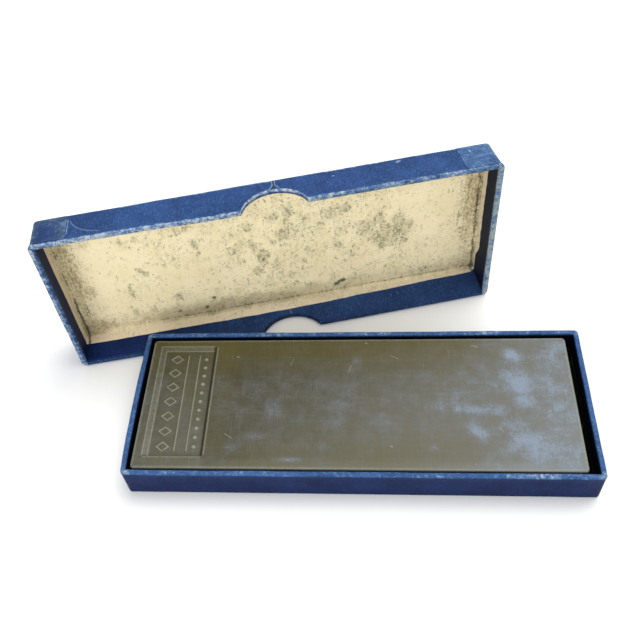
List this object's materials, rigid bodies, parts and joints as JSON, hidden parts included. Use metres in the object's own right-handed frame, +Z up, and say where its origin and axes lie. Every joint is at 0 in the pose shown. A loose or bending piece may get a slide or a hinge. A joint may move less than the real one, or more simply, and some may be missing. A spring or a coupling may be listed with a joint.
{
  "type": "boxed sharpening whetstone",
  "caption": "Rectangular sharpening whetstone lying in a shallow paper-covered card tray, with the matching lid standing on edge behind it.",
  "frame": {"origin": "centre of the tray's underside", "axes": "+X along the tray's length, towards the end away from the stone's recessed panel; +Y towards the standing lid; +Z up"},
  "size_m": [0.2237, 0.1219, 0.0744],
  "materials": {
    "hone_stone": "fine honed stone, olive grey with pale blue-grey residue",
    "blue_paper": "navy blue covering paper, satin, rubbed pale along the edges",
    "cream_lining": "matt cream paper, foxed and specked",
    "greyboard": "raw grey-brown board",
    "kraft_tape": "gummed kraft tape"
  },
  "bodies": {
    "tray": {"tray_board": "greyboard", "tray_base_paper": "blue_paper", "tray_lining": "cream_lining", "tray_wrap_left": "blue_paper", "tray_wrap_right": "blue_paper", "tray_wrap_near": "blue_paper", "tray_wrap_far": "blue_paper", "tray_corner_stay_1": "kraft_tape", "tray_corner_stay_2": "kraft_tape", "tray_corner_stay_3": "kraft_tape", "tray_corner_stay_4": "kraft_tape"},
    "stone": {"whetstone_block": "hone_stone"},
    "lid": {"lid_board": "greyboard", "lid_base_paper": "blue_paper", "lid_lining": "cream_lining", "lid_wrap_left": "blue_paper", "lid_wrap_right": "blue_paper", "lid_wrap_lower": "blue_paper", "lid_wrap_upper": "blue_paper", "lid_corner_stay_1": "kraft_tape", "lid_corner_stay_2": "kraft_tape", "lid_corner_stay_3": "kraft_tape", "lid_corner_stay_4": "kraft_tape"}
  },
  "joints": [
    {"name": "stone_lift", "type": "slide", "parent": "tray", "child": "stone", "axis": [0, 0, 1], "range_m": [0, 0.03]},
    {"name": "lid_lift", "type": "slide", "parent": "tray", "child": "lid", "axis": [0, 0, 1], "range_m": [0, 0.08]}
  ]
}
